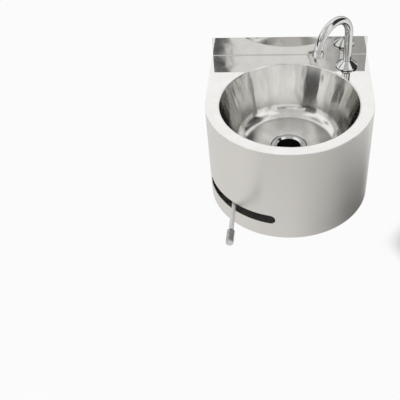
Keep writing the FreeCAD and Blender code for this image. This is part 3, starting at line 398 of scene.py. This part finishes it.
def milled_nozzle():
    """Aerator sleeve with a band of milled ribs at its top and bottom edges: two narrow bands are turned
    down, and every other face of them is raised again."""
    low, high = NOZZLE_BAND, NOZZLE_L - NOZZLE_BAND
    outside = [
        (NOZZLE_BORE_R, 0), (NOZZLE_ROOT_R - NOZZLE_EDGE, 0), (NOZZLE_ROOT_R, NOZZLE_EDGE),
        (NOZZLE_ROOT_R, low), (NOZZLE_R, low), (NOZZLE_R, high), (NOZZLE_ROOT_R, high),
        (NOZZLE_ROOT_R, NOZZLE_L - NOZZLE_EDGE), (NOZZLE_ROOT_R - NOZZLE_EDGE, NOZZLE_L),
    ]
    bore = [
        (NOZZLE_BORE_R, NOZZLE_L), (NOZZLE_BORE_R, NOZZLE_LEDGE[1]), (NOZZLE_LEDGE_R, NOZZLE_LEDGE[1]),
        (NOZZLE_LEDGE_R, NOZZLE_LEDGE[0]), (NOZZLE_BORE_R, NOZZLE_LEDGE[0]),
    ]
    nozzle = turned("milled_nozzle", outside + bore, MILLED_SIDES)

    def rib(middle, normal):
        in_band = not low < middle.z / MM < high
        on_root = abs(radius_mm(middle) - NOZZLE_ROOT_R) < SLACK and abs(normal.z) < SLACK
        turn = atan2(middle.y, middle.x) / (2 * pi) * MILLED_SIDES
        return in_band and on_root and floor(turn) % 2 == 0

    pick(nozzle, "FACE", rib)
    bpy.ops.mesh.inset(
        thickness=RIB_DRAFT * MM, depth=(NOZZLE_R - NOZZLE_ROOT_R) * MM, use_individual=True)
    crown = DECK + TAP_FOOT + SPOUT_AHEAD * ARCH_R * (1 - cos(ARCH_TURN)) * MM
    arch_end = crown + UP * (ARCH_FOOT_Z + ARCH_R * sin(ARCH_TURN)) * MM
    heading = SPOUT_AHEAD * sin(ARCH_TURN) + UP * cos(ARCH_TURN)
    mouth = arch_end + heading * NOZZLE_GAP * MM
    put(nozzle, mouth, heading, "spout", "aerator_housing", "polished_steel")


# The hose runs from the mixing valve to the tap and is held at both ends. Corners of its route, as in the
# CAD, in mm from the middle of the deck's back edge
HOSE_ROUTE = [
    (-71, -60, -150), (-22, -60, -150), (30, -57, -162), (84, -54, -160), (124, -55, -144),
    (144, -56, -112), (144, -56, -71),
]
HOSE_LINER_R = 3.3
# A real strand is a flat bundle of fine wires, and each bundle is drawn as one round strand, so that it shows
BRAID_STRANDS, BRAID_PITCH = 10, 50.0
BRAID_R, BRAID_RISE, STRAND_R = 4.0, 0.3, 0.65
HOSE_STEPS = 70
LINER_ROUNDNESS, STRAND_ROUNDNESS = 4, 1


def round_curve(name, splines, kind, thick_mm, roundness, steps):
    """Curve with a round section, left selected so that it can be converted to a mesh."""
    bpy.ops.object.select_all(action="DESELECT")
    data = bpy.data.curves.new(name, "CURVE")
    data.dimensions = "3D"
    data.resolution_u = steps
    data.bevel_depth = thick_mm * MM
    data.bevel_resolution = roundness
    for points in splines:
        spline = data.splines.new(kind)
        spline.points.add(len(points) - 1)
        for made, point in zip(spline.points, points):
            made.co = (*point, 1)
        if kind == "NURBS":
            spline.order_u = 3
            spline.use_endpoint_u = True
    holder = bpy.data.objects.new(name, data)
    bpy.context.scene.collection.objects.link(holder)
    bpy.context.view_layer.objects.active = holder
    holder.select_set(True)
    return holder


def braided_hose():
    """Rubber liner with strands of wire woven over it, each strand passing over and under the others."""
    route = [DECK + Vector(point) * MM for point in HOSE_ROUTE]
    liner = round_curve("hose_liner", [route], "NURBS", 0, LINER_ROUNDNESS, HOSE_STEPS)
    line = [vertex.co.copy() for vertex in bpy.data.meshes.new_from_object(liner).vertices]
    liner.data.bevel_depth = HOSE_LINER_R * MM
    bpy.ops.object.convert(target="MESH")
    liner = bpy.context.object
    strands = {(hand, k): [] for hand in (1, -1) for k in range(BRAID_STRANDS)}
    side, run = (line[1] - line[0]).orthogonal(), 0.0
    for k, point in enumerate(line):
        along = (line[min(k + 1, len(line) - 1)] - line[max(k - 1, 0)]).normalized()
        side = (side - along * side.dot(along)).normalized()
        run += (point - line[max(k - 1, 0)]).length / MM
        turn = 2 * pi * run / BRAID_PITCH
        for (hand, strand), points in strands.items():
            angle = hand * turn + 2 * pi * strand / BRAID_STRANDS
            out = side * cos(angle) + along.cross(side) * sin(angle)
            points.append(point + out * (BRAID_R + hand * BRAID_RISE * cos(BRAID_STRANDS * turn)) * MM)
    round_curve("hose_braid", strands.values(), "POLY", STRAND_R, STRAND_ROUNDNESS, 1)
    bpy.ops.object.convert(target="MESH")
    braid = bpy.context.object
    for piece, slot in ((liner, "black_rubber"), (braid, "braid")):
        bpy.ops.object.select_all(action="DESELECT")
        piece.select_set(True)
        bpy.context.view_layer.objects.active = piece
        bpy.ops.object.shade_smooth()
        stand_for(piece, "basin", "supply_hose", slot)


knurled_grip()
milled_nozzle()
braided_hose()


# ---- floor, light and camera ------------------------------------------------------------------

FLOOR_Z = -780 * MM
FLOOR_SIZE = 60.0
# Share of the floor's look that is its own white glow, brought down by the painted shade, and the rest is
# light falling on it, which holds the shadow
FLOOR_GLOW = 0.9

bpy.ops.object.select_all(action="DESELECT")
bpy.ops.mesh.primitive_plane_add(size=FLOOR_SIZE, location=(0, 0, FLOOR_Z))
floor_sheet = bpy.context.object
floor_sheet.name = "studio_floor"
floor_paint = bpy.data.materials.new("white_studio_floor")
floor_paint.use_nodes = True
floor_sheet.data.materials.append(floor_paint)


def within(tree, value, rise_from, rise_to, fall_from, fall_to):
    """Share that climbs from 0 to 1 between two values and falls back to 0 between two others."""
    shares = []
    for low, high, start, end in ((rise_from, rise_to, 0, 1), (fall_from, fall_to, 1, 0)):
        shares.append(add(tree, "ShaderNodeMapRange", {
            "Value": value, "From Min": low, "From Max": high, "To Min": start, "To Max": end,
        }, interpolation_type="SMOOTHSTEP").outputs[0])
    return add(tree, "ShaderNodeMath", {0: shares[0], 1: shares[1]}, operation="MULTIPLY").outputs[0]


def greyed(tree, x, y, other, areas):
    """White brought down to a level in each area. An area has four bearings in degrees, between which the
    grey comes and goes, and four of another value."""
    front = add(tree, "ShaderNodeMath", {0: y, 1: -1.0}, operation="MULTIPLY").outputs[0]
    turn = add(tree, "ShaderNodeMath", {0: x, 1: front}, operation="ARCTAN2").outputs[0]
    turn = add(tree, "ShaderNodeMath", {0: turn}, operation="DEGREES").outputs[0]
    light = None
    for bearings, others, level in areas:
        share = add(tree, "ShaderNodeMath", {
            0: within(tree, turn, *bearings), 1: within(tree, other, *others)}, operation="MULTIPLY")
        left = add(tree, "ShaderNodeMath", {
            0: share.outputs[0], 1: level - 1, 2: 1.0}, operation="MULTIPLY_ADD").outputs[0]
        light = add(tree, "ShaderNodeMath", {0: left, 1: light or 1.0}, operation="MULTIPLY").outputs[0]
    return light


# The floor is white behind the body, which is most of what the camera sees of it, with painted shade laid at
# its right and front that the apron mirrors, and faint painted greys at its left. Bearings in degrees from
# straight ahead, right positive, and distances in metres from the middle of the body
BODY_MIDDLE_Y = -204 * MM
FLOOR_PAINTED_SHADES = (
    ((50, 85, 120, 138), (0.45, 0.6, 0.92, 1.3), 0.08),
    ((-5, 65, 120, 138), (0.45, 0.6, 0.8, 1.05), 0.2),
    ((-60, -10, 60, 120), (0.6, 0.9, 1.5, 4.0), 0.92),
    ((-50, -30, 60, 75), (1.3, 2.4, 12, 30), 0.62),
)
tree = floor_paint.node_tree
tree.nodes.clear()
place = add(tree, "ShaderNodeTexCoord").outputs["Object"]
place = add(tree, "ShaderNodeMapping", {"Vector": place, "Location": (0, -BODY_MIDDLE_Y, 0)}).outputs[0]
split = add(tree, "ShaderNodeSeparateXYZ", {0: place})
distance = add(tree, "ShaderNodeVectorMath", {0: place}, operation="LENGTH").outputs["Value"]
# Painted shade on the floor, which brings down both its colour and its glow
shade = greyed(tree, split.outputs["X"], split.outputs["Y"], distance, FLOOR_PAINTED_SHADES)
rays = add(tree, "ShaderNodeLightPath")
seen = add(tree, "ShaderNodeMath", {
    0: rays.outputs["Is Camera Ray"], 1: rays.outputs["Is Glossy Ray"]}, operation="MAXIMUM").outputs[0]
seen = add(tree, "ShaderNodeMath", {
    0: seen, 1: rays.outputs["Is Transmission Ray"]}, operation="MAXIMUM").outputs[0]
share = add(tree, "ShaderNodeMath", {0: seen, 1: FLOOR_GLOW}, operation="MULTIPLY").outputs[0]
paint = add(tree, "ShaderNodeCombineXYZ", {"X": shade, "Y": shade, "Z": shade}).outputs[0]
matte = add(tree, "ShaderNodeBsdfDiffuse", {"Color": paint}).outputs[0]
glow = add(tree, "ShaderNodeEmission", {"Color": linear("#FFFFFF"), "Strength": shade}).outputs[0]
surface = add(tree, "ShaderNodeMixShader", {0: share, 1: matte, 2: glow}).outputs[0]
add(tree, "ShaderNodeOutputMaterial", {"Surface": surface})

# White studio with grey and dark boards round it, which give polished steel its dark streaks. Bearings as
# on the floor, and heights above the horizon, in degrees. The grey overhead takes in every bearing
WORLD_GREYS = (
    ((71, 79, 128, 142), (-19, -11, 60, 68), 0.04),
    ((12, 14, 24, 28), (14, 18, 35, 39), 0.3),
    ((7.6, 8.2, 12, 14), (14, 18, 35, 39), 0.1),
    ((3.5, 4.5, 7.6, 8.2), (22, 29, 33, 37), 0.45),
    ((-16, -12, 7.2, 8.2), (12, 16, 25, 28.5), 0.2),
    ((-8.1, -7.7, -5.85, -5.5), (27, 29, 34, 37), 0.08),
    ((-5.9, -4.9, 3.5, 4.5), (27, 29, 34, 37), 0.85),
    ((-33, -29, -18, -14), (16, 20, 30, 35), 0.4),
    ((-62, -57, -37, -33), (20, 24, 40, 46), 0.12),
    ((26, 30, 50, 56), (16, 20, 34, 40), 0.75),
    ((-50, -30, 60, 75), (-25, -18, 8, 16), 0.62),
    ((-132, -122, -62, -52), (-12, -6, 18, 27), 0.03),
    ((-114, -109, -100, -96), (37, 40, 46, 50), 0.15),
    ((-55, -45, 30, 42), (34, 41, 66, 74), 0.55),
    ((-204, -196, 196, 204), (66, 74, 96, 104), 0.6),
    ((-140, -130, -88, -78), (53, 58, 66, 74), 0.4),
)
studio = bpy.data.worlds.new("white_studio")
bpy.context.scene.world = studio
studio.use_nodes = True
tree = studio.node_tree
tree.nodes.clear()
split = add(tree, "ShaderNodeSeparateXYZ", {0: add(tree, "ShaderNodeTexCoord").outputs["Generated"]})
rise = add(tree, "ShaderNodeMath", {0: split.outputs["Z"]}, operation="ARCSINE").outputs[0]
rise = add(tree, "ShaderNodeMath", {0: rise}, operation="DEGREES").outputs[0]
light = greyed(tree, split.outputs["X"], split.outputs["Y"], rise, WORLD_GREYS)
backdrop = add(tree, "ShaderNodeBackground", {"Color": linear("#FFFFFF"), "Strength": light})
add(tree, "ShaderNodeOutputWorld", {"Surface": backdrop.outputs[0]})

# Camera, fitted to the photograph's view of the deck, rim and foot
CAMERA_AT = DECK + Vector((-9.51, -1497.37, 924.25)) * MM
CAMERA_YAW, CAMERA_PITCH, CAMERA_ROLL = radians(-6.322), radians(41.841), radians(-4.001)
CAMERA_LENS = 59.91
CAMERA_SHIFT = (-0.075, -0.06)
CAMERA_REACH = 100.0

flat = Vector((sin(CAMERA_YAW), cos(CAMERA_YAW), 0))
ahead = flat * cos(CAMERA_PITCH) - UP * sin(CAMERA_PITCH)
level = Vector((cos(CAMERA_YAW), -sin(CAMERA_YAW), 0))
above = level.cross(ahead)
right = level * cos(CAMERA_ROLL) + above * sin(CAMERA_ROLL)
upward = above * cos(CAMERA_ROLL) - level * sin(CAMERA_ROLL)
camera = bpy.data.objects.new("camera", bpy.data.cameras.new("camera"))
bpy.context.scene.collection.objects.link(camera)
camera.matrix_world = Matrix((right, upward, -ahead)).transposed().to_4x4()
camera.location = CAMERA_AT
camera.data.lens = CAMERA_LENS
camera.data.shift_x, camera.data.shift_y = CAMERA_SHIFT
camera.data.clip_end = CAMERA_REACH
bpy.context.scene.camera = camera
bpy.context.scene.view_settings.view_transform = "Standard"

# Inside the bowl a reflection is passed on many times before it gets out
bpy.context.scene.cycles.max_bounces = 16
bpy.context.scene.cycles.glossy_bounces = 12
